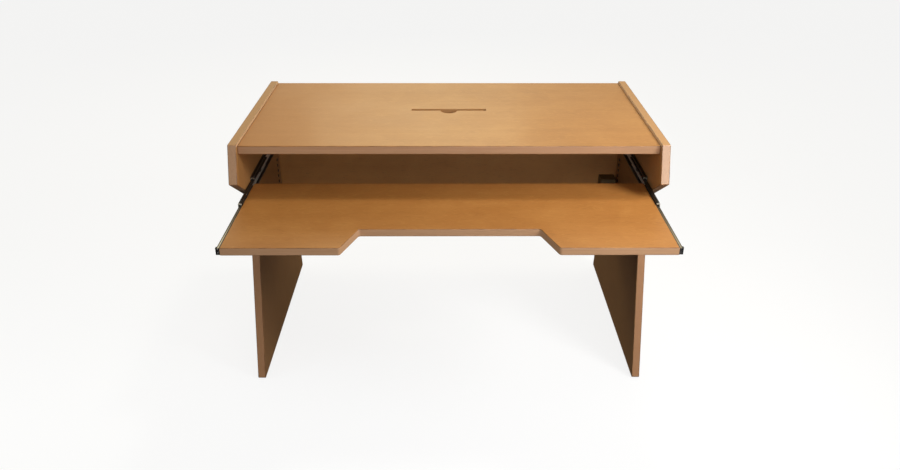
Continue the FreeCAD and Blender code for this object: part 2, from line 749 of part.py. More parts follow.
def cable_box():
    """Small box on the back panel: body, cover, cover screws and mounting screws."""
    x = f"({INNER} - box_side_gap - box_width)"
    middle = f"({x} + box_width / 2)"
    mount_x = f"({x} + box_mount_side)"
    low = f"({BACK_UNDER} + box_rise)"
    front = f"({BACK_FRONT} - box_depth)"
    shell_front = f"({front} + box_wall)"
    shell_depth = "(box_depth - box_wall)"
    shell = block("box_shell", (x, shell_front, low), ("box_width", shell_depth, "box_height"))
    hollow = block("box_hollow", (f"{x} + box_wall", shell_front, f"{low} + box_wall"),
                   ("box_width - 2 * box_wall", f"{shell_depth} - box_wall", "box_height - 2 * box_wall"))
    post_places = (f"({low} + box_post_inset)", f"({low} + box_height - box_post_inset)")
    mount_places = (f"({low} + box_mount_inset)", f"({low} + box_height - box_mount_inset)")
    posts = []
    post_bores = []
    cover_holes = []
    cover_screws = []
    for index, z in enumerate(post_places):
        posts.append(rod(f"box_post_{index}", (middle, shell_front, z), "y",
                         "box_post_diameter / 2", f"{shell_depth} - box_wall"))
        post_bores.append(rod(f"box_post_bore_{index}", (middle, shell_front, z), "y",
                              "box_screw_diameter / 2 + fit_play", "box_screw_length"))
        cover_holes.append(rod(f"box_cover_hole_{index}", (middle, front, z), "y",
                               "box_screw_diameter / 2 + fit_play", "box_wall"))
        head = rod(f"box_cover_head_{index}", (middle, f"{front} - box_screw_head_height", z), "y",
                   "box_screw_head_diameter / 2", "box_screw_head_height")
        shank = rod(f"box_cover_shank_{index}", (middle, front, z), "y",
                    "box_screw_diameter / 2", "box_screw_length")
        cover_screws.append(fuse(f"box_cover_screw_{index}", [head, shank]))
    mount_bores = []
    panel_bores = []
    mount_screws = []
    wall_front = f"({BACK_FRONT} - box_wall)"
    for index, z in enumerate(mount_places):
        mount_bores.append(rod(f"box_mount_bore_{index}", (mount_x, wall_front, z), "y",
                               "box_screw_diameter / 2 + fit_play", "box_wall"))
        panel_bores.append(rod(f"box_panel_bore_{index}", (mount_x, BACK_FRONT, z), "y",
                               "box_screw_diameter / 2 + fit_play", "box_screw_length"))
        head = rod(f"box_mount_head_{index}", (mount_x, f"{wall_front} - box_screw_head_height", z), "y",
                   "box_screw_head_diameter / 2", "box_screw_head_height")
        shank = rod(f"box_mount_shank_{index}", (mount_x, wall_front, z), "y",
                    "box_screw_diameter / 2", "box_screw_length")
        mount_screws.append(fuse(f"box_mount_screw_{index}", [head, shank]))
    tray = cut("box_tray", shell, [hollow])
    body = cut("box_bored", fuse("box_with_posts", [tray] + posts), post_bores + mount_bores)
    node("cable_box_body", body)
    cover = block("box_cover_plate", (x, front, low), ("box_width", "box_wall", "box_height"))
    node("cable_box_cover", cut("box_cover_bored", cover, cover_holes))
    node("cable_box_cover_screws", group("box_cover_screw_set", cover_screws))
    node("cable_box_mount_screws", group("box_mount_screw_set", mount_screws))
    return panel_bores


def build():
    """Make the fittings first, so that each board gets the bores of what it holds."""
    gable_bores = {}
    top_bores = []
    back_bores = []
    tray_bores = []
    sets = {name: [] for name in (
        "top_cam_locks", "top_cam_bolts", "top_dowels",
        "back_cam_locks", "back_cam_bolts", "back_dowels", "rail_dowels",
        "cabinet_screws", "tray_screws", "pin_sleeves", "glides",
    )}
    top_mid = f"({TOP_UNDER} + top_thickness / 2)"
    back_mid = f"({BACK_FRONT} + back_thickness / 2)"
    top_ends = {"front": "top_setback + {}", "rear": "gable_top_depth - {}"}
    back_ends = {"low": f"{BACK_UNDER} + {{}}", "high": f"{TOP_UNDER} - {{}}"}
    for side in SIDES:
        gable_bores[side], sleeves = pin_rows(side)
        sets["pin_sleeves"] += sleeves
        for end, where in top_ends.items():
            y = where.format("top_cam_inset")
            lock, bolt, gable_bore, panel_bores = cam_joint(
                f"{side}_top_{end}", side, y, top_mid, TOP_UNDER, "top_thickness", "z")
            sets["top_cam_locks"].append(lock)
            sets["top_cam_bolts"].append(bolt)
            gable_bores[side].append(gable_bore)
            top_bores += panel_bores
            peg, gable_bore, panel_bore = side_dowel(
                f"{side}_top_{end}_dowel", side, where.format("top_dowel_inset"), top_mid)
            sets["top_dowels"].append(peg)
            gable_bores[side].append(gable_bore)
            top_bores.append(panel_bore)
        for end, where in back_ends.items():
            z = where.format("back_cam_inset")
            lock, bolt, gable_bore, panel_bores = cam_joint(
                f"{side}_back_{end}", side, back_mid, z, BACK_REAR, "back_thickness", "y")
            sets["back_cam_locks"].append(lock)
            sets["back_cam_bolts"].append(bolt)
            gable_bores[side].append(gable_bore)
            back_bores += panel_bores
            peg, gable_bore, panel_bore = side_dowel(
                f"{side}_back_{end}_dowel", side, back_mid, where.format("back_dowel_inset"))
            sets["back_dowels"].append(peg)
            gable_bores[side].append(gable_bore)
            back_bores.append(panel_bore)
        for end, y in {"front": "glide_inset - foot_toe", "rear": "foot_rear - glide_inset"}.items():
            foot, bore = glide(f"{side}_{end}_glide", side, y)
            sets["glides"].append(foot)
            gable_bores[side].append(bore)
        cabinet_seats = []
        member_bores = []
        for index, offset in enumerate(SCREW_PLACES):
            y = f"slide_front + {offset}"
            name = f"{side}_cabinet_screw_{index}"
            sets["cabinet_screws"].append(countersunk(name, side, y, "0", "screw_length"))
            seat = countersunk(f"{name}_seat", side, y, "fit_play", "(screw_length + end_play)")
            cabinet_seats.append(seat)
            gable_bores[side].append(seat)
            y = f"{TRAY_MEMBER_FRONT} + {offset}"
            name = f"{side}_tray_screw_{index}"
            sets["tray_screws"].append(pan_screw(name, side, y))
            bore = pan_bore(f"{name}_bore", side, y)
            member_bores.append(bore)
            tray_bores.append(bore)
        cabinet_member(side, cabinet_seats)
        middle_member(side)
        tray_member(side, member_bores)
        front_cap(side)
        ball_cage(side, "outer", OUTER_CAGE_NEAR, OUTER_RACE, OUTER_BALL,
                  "(slide_front + outer_cage_start)", "outer_cage_length")
        ball_cage(side, "inner", INNER_CAGE_NEAR, INNER_RACE, INNER_BALL,
                  f"({MIDDLE_FRONT} + inner_cage_start)", "inner_cage_length")
        rear_bumper(side)
    rest = "(dowel_length - dowel_in_board)"
    bore_radius = "dowel_diameter / 2 + fit_play"
    for index, x in enumerate((f"-{INNER} + rail_dowel_inset", "0", f"{INNER} - rail_dowel_inset")):
        peg = rod(f"rail_dowel_{index}", (x, back_mid, f"{TOP_UNDER} - {rest}"), "z",
                  "dowel_diameter / 2", "dowel_length")
        sets["rail_dowels"].append(peg)
        top_bores.append(rod(f"rail_dowel_top_{index}", (x, back_mid, TOP_UNDER), "z",
                             bore_radius, "dowel_in_board + end_play"))
        bottom = f"{TOP_UNDER} - {rest} - end_play"
        back_bores.append(rod(f"rail_dowel_back_{index}", (x, back_mid, bottom), "z",
                              bore_radius, f"{rest} + end_play"))
    back_bores += cable_box()
    for side in SIDES:
        gable(side, gable_bores[side])
    top_panel(top_bores)
    back_panel(back_bores)
    keyboard_tray(tray_bores)
    for name, pieces in sets.items():
        node(name, group(f"{name}_set", pieces))


def check():
    """Stop if any feature failed or any piece is empty or invalid."""
    doc.recompute()
    for item in doc.Objects:
        if "Invalid" in item.State or "Error" in item.State:
            raise RuntimeError(f"{item.Name} failed: {item.State}")
    for item in nodes:
        if item.Shape.isNull() or not item.Shape.isValid():
            raise RuntimeError(f"{item.Label} has no valid shape")


def export():
    """Write each piece to its own file."""
    os.makedirs("parts", exist_ok=True)
    for item in nodes:
        item.Shape.exportStep(f"parts/{item.Label}.step")
        print(item.Label, len(item.Shape.Solids), "solids", round(item.Shape.Volume / 1000, 2), "cm3")


build()
check()
export()
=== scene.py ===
import json
import math

import bmesh
import bpy
import numpy as np
from mathutils import Matrix, Vector


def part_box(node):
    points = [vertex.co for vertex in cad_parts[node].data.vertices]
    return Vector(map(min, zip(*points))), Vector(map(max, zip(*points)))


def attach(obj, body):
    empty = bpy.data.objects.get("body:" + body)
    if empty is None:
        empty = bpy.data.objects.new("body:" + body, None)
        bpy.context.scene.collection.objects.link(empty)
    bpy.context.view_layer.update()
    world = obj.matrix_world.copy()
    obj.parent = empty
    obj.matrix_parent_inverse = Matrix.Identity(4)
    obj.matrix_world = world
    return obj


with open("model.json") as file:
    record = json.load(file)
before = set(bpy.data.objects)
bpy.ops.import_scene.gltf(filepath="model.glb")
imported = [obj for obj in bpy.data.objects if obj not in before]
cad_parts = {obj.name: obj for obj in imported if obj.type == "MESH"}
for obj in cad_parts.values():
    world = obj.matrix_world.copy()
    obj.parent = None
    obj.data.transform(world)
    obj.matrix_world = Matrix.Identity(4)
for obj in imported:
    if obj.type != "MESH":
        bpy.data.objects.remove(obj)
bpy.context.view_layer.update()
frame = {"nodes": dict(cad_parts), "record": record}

nodes = frame["nodes"]
scene = bpy.context.scene
SIDES = {"left": -1, "right": 1}
MILLIMETRE = 0.001

# Places read off the frame, in metres
INNER_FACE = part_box("right_gable")[0].x
OUTER_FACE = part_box("right_gable")[1].x
SLIDE_AXIS = sum(corner.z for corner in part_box("right_cabinet_member")) / 2
TOP_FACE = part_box("top_panel")[1].z

# Lowest and highest Y of the top's slot with its notch, in metres
SLOT_RUN = (0.0800, 0.1250)

# Heights over which a gable turns into a leg, and over which edges come within reach of hands, in metres
LEG_BELOW = (0.60, 0.35)
HANDS_ABOVE = (0.40, 0.50)

# X over which a board's stain turns redder towards the left, in metres
REDDENING_RUN = (0.10, -0.60)


class Wire:
    """One socket of a finish; arithmetic on it adds Math nodes to the finish."""

    def __init__(self, finish, socket):
        self.finish = finish
        self.socket = socket

    def math(self, operation, *others):
        inputs = dict(enumerate((self,) + others))
        return self.finish.node("Math", {"operation": operation}, inputs)

    def __add__(self, other):
        return self.math("ADD", other)

    def __mul__(self, other):
        return self.math("MULTIPLY", other)

    def __sub__(self, other):
        return self.math("SUBTRACT", other)

    def __rsub__(self, other):
        return self.finish.node("Math", {"operation": "SUBTRACT"}, {0: other, 1: self})

    def __truediv__(self, other):
        return self.math("DIVIDE", other)

    def __abs__(self):
        return self.math("ABSOLUTE")

    __radd__ = __add__
    __rmul__ = __mul__


class Finish:
    """A node tree under construction: node() adds any node and returns one of its outputs as a Wire."""

    def __init__(self, owner):
        owner.use_nodes = True
        self.owner = owner
        self.tree = owner.node_tree
        self.tree.nodes.clear()

    @classmethod
    def material(cls, name):
        """New material, with the place and the facing of the surface at hand."""
        finish = cls(bpy.data.materials.new(name))
        finish.place = finish.node("TexCoord", out="Object")
        finish.facing = finish.node("TexCoord", out="Normal")
        return finish

    def node(self, kind, settings=None, inputs=None, out=0):
        """Adds a node: its settings first, then the values or links of its sockets by name or number."""
        made = self.tree.nodes.new("ShaderNode" + kind)
        for name, value in (settings or {}).items():
            if name == "stops":
                self.set_stops(made.color_ramp.elements, value)
            else:
                setattr(made, name, value)
        for key, value in (inputs or {}).items():
            socket = self.find(made.inputs, key)
            if isinstance(value, Wire):
                self.tree.links.new(value.socket, socket)
            else:
                socket.default_value = value
        return Wire(self, self.find(made.outputs, out)) if made.outputs else None

    @staticmethod
    def find(sockets, key):
        if isinstance(key, int):
            return sockets[key]
        return next(socket for socket in sockets if socket.enabled and socket.name == key)

    @staticmethod
    def set_stops(elements, stops):
        while len(elements) < len(stops):
            elements.new(1.0)
        for element, (position, colour) in zip(elements, stops):
            element.position = position
            element.color = colour

    def axis(self, wire, letter):
        """X, Y or Z of a vector."""
        return self.node("SeparateXYZ", inputs={"Vector": wire}, out=letter)

    def stretched(self, x, y, z, source=None):
        """Object place with each axis multiplied, which makes a pattern long or short along it."""
        inputs = {0: source or self.place, 1: (x, y, z)}
        return self.node("VectorMath", {"operation": "MULTIPLY"}, inputs)

    def noise(self, place, scale=1.0, detail=2.0, roughness=0.5, distortion=0.0):
        inputs = {"Vector": place, "Scale": scale, "Detail": detail, "Roughness": roughness,
                  "Distortion": distortion}
        return self.node("TexNoise", inputs=inputs, out="Fac")

    def step(self, wire, low, high):
        """0 below low, 1 above high, and a smooth rise between; low above high turns it round."""
        settings = {"interpolation_type": "SMOOTHSTEP"}
        return self.node("MapRange", settings, {"Value": wire, "From Min": low, "From Max": high})

    def between(self, wire, low, high, soft):
        """1 from low to high, falling to 0 over a soft margin outside."""
        return self.step(wire, low - soft, low) * self.step(wire, high + soft, high)

    def mix(self, amount, first, second):
        settings = {"data_type": "RGBA", "blend_type": "MIX", "clamp_factor": True}
        return self.node("Mix", settings, {"Factor": amount, "A": first, "B": second}, out="Result")

    def bump(self, height, distance, strength):
        return self.node("Bump", inputs={"Height": height, "Distance": distance, "Strength": strength})

    def done(self, **sockets):
        """Closes the finish with one shader; words in a socket's name are joined by underscores."""
        inputs = {name.replace("_", " "): value for name, value in sockets.items()}
        shader = self.node("BsdfPrincipled", inputs=inputs)
        self.node("OutputMaterial", inputs={"Surface": shader})
        return self.owner


def rgb(red, green, blue):
    """Colour socket value from three linear parts."""
    return (red, green, blue, 1.0)


def toned(colour, tone):
    """Colour socket value from three linear parts, each times its part of the tone."""
    return rgb(*(part * share for part, share in zip(colour, tone)))


# Colours of the boards: stain by its place on the ramp, then the band's, then painted light and shade, with
# grime in the joints
STAIN = {0.25: (0.360, 0.145, 0.030), 0.50: (0.425, 0.182, 0.042), 0.78: (0.485, 0.224, 0.058)}
GREY_STAIN = (0.335, 0.205, 0.100)
RED_STAIN = rgb(0.470, 0.165, 0.018)
DARK_FLECK = rgb(0.235, 0.086, 0.016)
PALE_GLINT = rgb(0.62, 0.335, 0.110)
PALE_WISP = rgb(0.55, 0.265, 0.066)
BAND_DARK = (0.41, 0.220, 0.112)
BAND_LIGHT = (0.53, 0.310, 0.175)
# Painted light: bands that look up, the inner strip above the top and the slot's walls
UPPER_BAND_LIGHT = rgb(0.485, 0.245, 0.075)
STRIP_LIGHT = rgb(0.80, 0.52, 0.30)
SLOT_DARK = rgb(0.49, 0.25, 0.092)
SLOT_LIGHT = rgb(0.59, 0.305, 0.120)
# Painted shade: arrises and rims, the joints with their grime, the legs and the gable beside the slides
EDGE_SHADE = rgb(0.105, 0.046, 0.018)
JOINT_GRIME_AND_SHADE = rgb(0.075, 0.034, 0.013)
LEG_SHADE = rgb(0.170, 0.107, 0.086)
LEG_BAND_SHADE = rgb(0.345, 0.135, 0.040)
SLIDE_SHADOW = rgb(0.020, 0.015, 0.010)


def beside_slide(finish):
    """Strip of a gable's inner face just above and below the cabinet member, as long as the member."""
    low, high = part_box("right_cabinet_member")
    half = (high.z - low.z) / 2
    off = abs(finish.axis(finish.place, "Z") - SLIDE_AXIS)
    strip = finish.step(off, half + 5 * MILLIMETRE, half + 3 * MILLIMETRE)
    return strip * finish.between(finish.axis(finish.place, "Y"), low.y, high.y, 2 * MILLIMETRE)


def gable_wear(finish, inner, stain, band, on_band):
    """Stain, band and band's mask of a gable, inner being the mask of its inner face.

    Low on the leg the inner face is darker and greyer and the bands are darker, as painted shade under the
    tray, and bands that look up are more golden, as painted light from above. A painted shadow lines the
    slide, the bands are darker along the outer rim as painted shade, and above the top the inner face is
    paler as painted light.
    """
    above = finish.axis(finish.place, "Z")
    leg = finish.step(above, *LEG_BELOW)
    # Painted shade low on the leg's inner face, under the tray
    stain = finish.mix(leg * inner * 0.32, stain, LEG_SHADE)
    # Painted shadow on the inner face along the slide
    stain = finish.mix(beside_slide(finish) * inner * 0.85, stain, SLIDE_SHADOW)
    outward = abs(finish.axis(finish.place, "X"))
    outer_rim = finish.step(outward, OUTER_FACE - 2.4 * MILLIMETRE, OUTER_FACE - 0.8 * MILLIMETRE)
    upper = finish.step(finish.axis(finish.facing, "Z"), 0.50, 0.80)
    # Painted shade on the leg's bands
    band = finish.mix(leg * 0.5, band, LEG_BAND_SHADE)
    # Painted light: bands that look up are more golden
    band = finish.mix(upper * 0.6, band, UPPER_BAND_LIGHT)
    # Painted shade along the outer rim
    band = finish.mix(outer_rim * 0.75, band, EDGE_SHADE)
    # Painted light on the inner face above the top, which lies in shade
    strip = inner * finish.step(above, TOP_FACE - MILLIMETRE, TOP_FACE)
    band = finish.mix(strip * 0.6, band, STRIP_LIGHT)
    return stain, band, on_band.math("MAXIMUM", strip * 0.8)


def wood(name, grain, face, seed, tone=(1.0, 1.0, 1.0), dull=0.0, pale_band=1.0, dark_arris=0.35,
         joint=False, cut=None, gable=False, redder_left=0.0):
    """Stained and lacquered board.

    The fibres run along the grain axis. Wide streaks, fine fibres, flecks, glints and wisps are noises
    stretched along it, and a slow mottle shifts the stain. What doesn't look along the face axis is edge
    band, paler and pinker, and the rounded arris between the two is darkened in patches as painted shade.
    Bands on the player's side are polished by hands. A dull board is greyer, a gable only on its inner
    face, where the grey is painted fill light in its shade. A joint darkens the board's two ends in X, as
    grime and painted shade in the line between it and the gables. A cut, given by its lowest and highest
    Y, has walls painted brighter, as painted light in the slot's shade. With redder_left the stain turns
    redder towards the left.
    """
    finish = Finish.material(name)
    long = {"x": (1, 0, 0), "y": (0, 1, 0), "z": (0, 0, 1)}[grain]
    wander_across = 9
    wander_along = 2.5
    wander_reach = 0.035

    def stretch(along, across):
        return [across + (along - across) * part for part in long]

    def fibres(along, across):
        """Place with the grain's stretch, after a slow wander to the sides."""
        shifted = finish.node("VectorMath", {"operation": "ADD"}, {0: finish.place, 1: (seed, seed, seed)})
        wander = finish.noise(finish.stretched(*stretch(wander_along, wander_across), shifted), detail=1.0)
        offset = finish.node("CombineXYZ", inputs={"X": wander, "Y": wander, "Z": wander})
        drift = finish.node("VectorMath", {"operation": "MULTIPLY_ADD"},
                            {0: offset, 1: stretch(0, wander_reach), 2: shifted})
        return finish.stretched(*stretch(along, across), drift)

    streaks = finish.noise(fibres(1.1, 30), detail=4.0, roughness=0.55)
    fibre = finish.noise(fibres(16, 620), detail=3.0, roughness=0.6)
    flecks = finish.step(finish.noise(fibres(52, 380), detail=1.5), 0.58, 0.74)
    glints = finish.step(finish.noise(fibres(40, 260), detail=1.5, distortion=0.4), 0.60, 0.76)
    wisps = finish.step(finish.noise(fibres(34, 72), detail=3.0, distortion=1.6), 0.50, 0.72)
    mottle = finish.noise(finish.stretched(7, 7, 7), detail=2.5, roughness=0.6, distortion=0.6)

    stops = [(position, toned(colour, tone)) for position, colour in STAIN.items()]
    stain = finish.node("ValToRGB", {"stops": stops},
                        {"Fac": streaks * 0.36 + mottle * 0.54 + fibre * 0.14}, out="Color")
    stain = finish.mix(flecks * 0.30, stain, DARK_FLECK)
    stain = finish.mix(glints * 0.18, stain, PALE_GLINT)
    stain = finish.mix(wisps * 0.28, stain, PALE_WISP)

    if redder_left:
        left = finish.step(finish.axis(finish.place, "X"), *REDDENING_RUN)
        stain = finish.mix(left * redder_left, stain, RED_STAIN)

    band_grain = finish.noise(fibres(5, 330), detail=3.0)
    band = finish.mix(band_grain, toned(BAND_DARK, 3 * (pale_band,)), toned(BAND_LIGHT, 3 * (pale_band,)))
    # Painted light: a cut's walls are brighter than their shade
    if cut:
        in_cut = finish.between(finish.axis(finish.place, "Y"), *cut, MILLIMETRE)
        band = finish.mix(in_cut, band, finish.mix(band_grain, SLOT_DARK, SLOT_LIGHT))

    # How far the surface looks along the face axis: 1 on the faces, 0 on the bands, in between on the arris
    look = abs(finish.axis(finish.facing, face.upper()))
    on_band = finish.step(look, 0.62, 0.30)
    arris = finish.step(look, 0.06, 0.34) * finish.step(look, 0.985, 0.80)
    if gable:
        inward = finish.axis(finish.place, "X") * finish.axis(finish.facing, "X")
        inner = finish.step(inward, -0.30, -0.45)
        # Painted light: a gable's inner face turns greyer, a neutral fill in its shade
        stain = finish.mix(inner * dull, stain, toned(GREY_STAIN, tone))
        stain, band, on_band = gable_wear(finish, inner, stain, band, on_band)
    elif dull:
        stain = finish.mix(dull, stain, toned(GREY_STAIN, tone))
    colour = finish.mix(on_band, stain, band)
    # Painted shade along the arris, broken in patches by the noise
    rubbed = finish.noise(finish.stretched(30, 30, 30), detail=3.0)
    wear_and_edge_shade = arris * finish.step(rubbed, 0.80, 0.30) * dark_arris
    colour = finish.mix(wear_and_edge_shade, colour, EDGE_SHADE)
    if joint:
        outward = abs(finish.axis(finish.place, "X"))
        # Grime and painted shade in the line between the board and the gables
        joint_grime_and_shade = finish.step(outward, INNER_FACE - 3.5 * MILLIMETRE, INNER_FACE - 0.5 * MILLIMETRE)
        colour = finish.mix(joint_grime_and_shade * 0.75, colour, JOINT_GRIME_AND_SHADE)

    smears = finish.noise(finish.stretched(5, 5, 5), detail=3.0, distortion=1.2)
    handled = on_band * finish.step(finish.axis(finish.facing, "Y"), -0.40, -0.80)
    handled = handled * finish.step(finish.axis(finish.place, "Z"), *HANDS_ABOVE)
    rough = 0.40 + fibre * 0.09 + smears * 0.09 + on_band * 0.16 - handled * 0.20 - arris * 0.05
    height = fibre * 0.6 - flecks * 0.5 + smears * 0.15
    return finish.done(Base_Color=colour, Roughness=rough,
                       Normal=finish.bump(height, 0.12 * MILLIMETRE, 0.35),
                       Coat_Weight=0.10 + handled * 0.48, Coat_Roughness=0.20, IOR=1.45)


def black_steel(name, plated_from=None):
    """Black coated strip with fine orange peel, rubbed grey in places.

    Behind the Y plated_from its web, which is what lies close to the gable, is plated between two heights.
    """
    finish = Finish.material(name)
    peel = finish.noise(finish.place, scale=900.0, detail=2.0)
    rub = finish.noise(finish.stretched(120, 9, 120), detail=4.0, roughness=0.65)
    wear_and_edge_shade = finish.step(rub, 0.60, 0.78)
    colour = finish.mix(wear_and_edge_shade * 0.35, rgb(0.019, 0.0165, 0.0135), rgb(0.100, 0.090, 0.076))
    rough = 0.30 + peel * 0.10 + wear_and_edge_shade * 0.12
    metal = wear_and_edge_shade * 0.2
    if plated_from is not None:
        away = INNER_FACE - abs(finish.axis(finish.place, "X"))
        up = finish.axis(finish.place, "Z") - SLIDE_AXIS
        web = finish.step(away, 4.2 * MILLIMETRE, 3.6 * MILLIMETRE)
        web = web * finish.between(up, -12 * MILLIMETRE, 15 * MILLIMETRE, MILLIMETRE)
        web = web * finish.step(finish.axis(finish.place, "Y"), plated_from - MILLIMETRE, plated_from)
        plated = finish.mix(rub, rgb(0.50, 0.47, 0.42), rgb(0.76, 0.73, 0.67))
        colour = finish.mix(web, colour, plated)
        metal = metal.math("MAXIMUM", web * 0.45)
        rough = rough + web * 0.08
    return finish.done(Base_Color=colour, Roughness=rough, Metallic=metal,
                       Normal=finish.bump(peel, 0.04 * MILLIMETRE, 0.3), IOR=1.5)


def plain_steel(name, dark, light, rough_low, stretch, spread=0.14, rail=None, bright=1.0):
    """Bare or plated metal: drawn lines along the axis of the smallest stretch, and a cloudy sheen.

    A rail, given by the corners of its box, has a top flange darkened along both edges as painted shade.
    Between them its front half is paler as painted light, more so towards the front end and as strong as
    bright says.
    """
    finish = Finish.material(name)
    lines = finish.noise(finish.stretched(*stretch), detail=3.0, roughness=0.6)
    cloud = finish.noise(finish.place, scale=140.0, detail=3.0, roughness=0.6)
    colour = finish.mix(lines * 0.55 + cloud * 0.45, dark, light)
    rough = rough_low + lines * spread + cloud * spread
    metal = 0.95
    if rail:
        low, high = rail
        half = (high.x - low.x) / 2
        off = abs(abs(finish.axis(finish.place, "X")) - (low.x + half))
        top = finish.step(finish.axis(finish.facing, "Z"), 0.30, 0.60)
        ahead = finish.step(finish.axis(finish.place, "Y"), (low.y + high.y) / 2, low.y)
        # Painted light on the flange's middle, as strong as bright
        middle = top * ahead * finish.step(off, 0.50 * half, 0.30 * half) * bright
        # Painted shade along the flange's edges
        edge = top * finish.step(off, 0.45 * half, 0.65 * half)
        colour = finish.mix(middle, colour, rgb(0.72, 0.64, 0.47))
        colour = finish.mix(edge * 0.85, colour, rgb(0.035, 0.030, 0.022))
        metal = metal - middle * 0.65 - edge * 0.60
    return finish.done(Base_Color=colour, Roughness=rough, Metallic=metal,
                       Normal=finish.bump(lines, 0.03 * MILLIMETRE, 0.25))


def moulded(name, dark, light, rough_low, grain_scale):
    """Moulded plastic or rubber: spark-eroded grain, and a little scuffing that lightens it."""
    finish = Finish.material(name)
    grain = finish.node("TexVoronoi", {"feature": "SMOOTH_F1"},
                        {"Vector": finish.place, "Scale": grain_scale, "Smoothness": 0.6}, out="Distance")
    scuff = finish.noise(finish.stretched(60, 60, 60), detail=4.0, roughness=0.65)
    colour = finish.mix(finish.step(scuff, 0.42, 0.80) * 0.7 + grain * 0.2, dark, light)
    rough = rough_low + grain * 0.12 + scuff * 0.10
    return finish.done(Base_Color=colour, Roughness=rough,
                       Normal=finish.bump(grain, 0.06 * MILLIMETRE, 0.4))


def beech(name):
    """Pale dowel wood with fine fibres and tiny dark dashes."""
    finish = Finish.material(name)
    fibre = finish.noise(finish.stretched(160, 900, 900), detail=3.0)
    dashes = finish.step(finish.noise(finish.stretched(300, 1500, 1500)), 0.60, 0.72)
    colour = finish.mix(fibre, rgb(0.48, 0.30, 0.16), rgb(0.66, 0.47, 0.29))
    colour = finish.mix(dashes * 0.5, colour, rgb(0.30, 0.16, 0.08))
    return finish.done(Base_Color=colour, Roughness=0.55 + fibre * 0.15,
                       Normal=finish.bump(fibre, 0.1 * MILLIMETRE, 0.4))


# Finishes by the record's material slots
DRAWN_IN_Y = (900, 40, 900)
DRAWN_IN_Z = (500, 500, 120)
EVEN = (300, 300, 300)
finishes = {
    "gable_board": wood("stained_gable", "z", "x", 3.1, dull=0.33, dark_arris=0.85, gable=True),
    "top_board": wood("stained_top", "x", "z", 7.4, dark_arris=0.55, joint=True, cut=SLOT_RUN,
                      redder_left=0.5),
    "back_board": wood("stained_back", "x", "y", 12.9, tone=(1.35, 1.31, 1.33), dull=0.2),
    "tray_board": wood("stained_tray", "x", "z", 21.7, tone=(1.045, 0.985, 0.94), pale_band=1.2,
                       dark_arris=0.8),
    "slide_black": black_steel("coated_slide"),
    "cage_steel": plain_steel("drawn_cage", rgb(0.34, 0.33, 0.31), rgb(0.58, 0.57, 0.55),
                              rough_low=0.24, stretch=DRAWN_IN_Y),
    "ball_steel": plain_steel("polished_ball", rgb(0.60, 0.60, 0.60), rgb(0.76, 0.76, 0.77),
                              rough_low=0.06, stretch=EVEN, spread=0.06),
    "zinc": plain_steel("plated_fitting", rgb(0.38, 0.37, 0.34), rgb(0.63, 0.62, 0.58),
                        rough_low=0.26, stretch=DRAWN_IN_Z),
    "beech": beech("dowel_beech"),
    "glide_plastic": moulded("glide_moulding", rgb(0.020, 0.018, 0.016), rgb(0.060, 0.055, 0.050),
                             rough_low=0.42, grain_scale=900.0),
    "box_plastic": moulded("box_moulding", rgb(0.118, 0.076, 0.024), rgb(0.205, 0.132, 0.048),
                           rough_low=0.46, grain_scale=800.0),
    "bumper_rubber": moulded("bumper_moulding", rgb(0.012, 0.012, 0.012), rgb(0.034, 0.033, 0.032),
                             rough_low=0.60, grain_scale=700.0),
    "cap_nylon": moulded("nylon_cap", rgb(0.36, 0.34, 0.28), rgb(0.54, 0.51, 0.44),
                         rough_low=0.36, grain_scale=1100.0),
    "cap_black": moulded("black_cap", rgb(0.014, 0.013, 0.014), rgb(0.050, 0.048, 0.050),
                         rough_low=0.36, grain_scale=1000.0),
}

# Finishes of single nodes: the cabinet member is plated only where the middle member doesn't cover it
middle_front, middle_rear = (corner.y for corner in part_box("right_middle_member"))
plated_middle = black_steel("plated_middle_web", middle_front)
plated_cabinet = black_steel("plated_cabinet_web", middle_rear - 4 * MILLIMETRE)
# Strength of each rail's painted light
rail_painted_light = {"left": 1.0, "right": 0.45}
own_finish = {"cable_box_cover_screws": finishes["slide_black"]}
for side in SIDES:
    own_finish[f"{side}_cabinet_member"] = plated_cabinet
    own_finish[f"{side}_middle_member"] = plated_middle
    own_finish[f"{side}_tray_member"] = plain_steel(
        f"{side}_rail", rgb(0.150, 0.124, 0.084), rgb(0.25, 0.212, 0.153), rough_low=0.32,
        stretch=DRAWN_IN_Y, rail=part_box("right_tray_member"), bright=rail_painted_light[side])

for part in frame["record"]["subparts"]:
    node = part["node"]
    mesh = nodes[node].data
    mesh.materials.clear()
    mesh.materials.append(own_finish[node] if node in own_finish else finishes[part["material_slot"]])


def surface(name, grids, closed=False):
    """Mesh over grids of points, each rows by columns by three.

    Where it is closed, a grid's last column is joined to its first.
    """
    count, rows, columns = grids.shape[:3]
    index = np.arange(count * rows * columns).reshape(count, rows, columns)
    if closed:
        index = np.concatenate((index, index[:, :, :1]), axis=2)
    corners = (index[:, :-1, :-1], index[:, :-1, 1:], index[:, 1:, 1:], index[:, 1:, :-1])
    faces = np.stack(corners, axis=-1).reshape(-1, 4)
    mesh = bpy.data.meshes.new(name)
    mesh.from_pydata(grids.reshape(-1, 3).tolist(), [], faces.tolist())
    return mesh


def fitting(name, mesh, slot, body):
    """Small closed piece on a body: its poles are merged, its faces turned outwards and shaded smooth."""
    work = bmesh.new()
    work.from_mesh(mesh)
    bmesh.ops.remove_doubles(work, verts=work.verts, dist=0.002 * MILLIMETRE)
    bmesh.ops.dissolve_degenerate(work, edges=work.edges, dist=0.001 * MILLIMETRE)
    bmesh.ops.recalc_face_normals(work, faces=work.faces)
    work.to_mesh(mesh)
    work.free()
    mesh.shade_smooth()
    mesh.materials.append(finishes[slot])
    piece = bpy.data.objects.new(name, mesh)
    scene.collection.objects.link(piece)
    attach(piece, body)


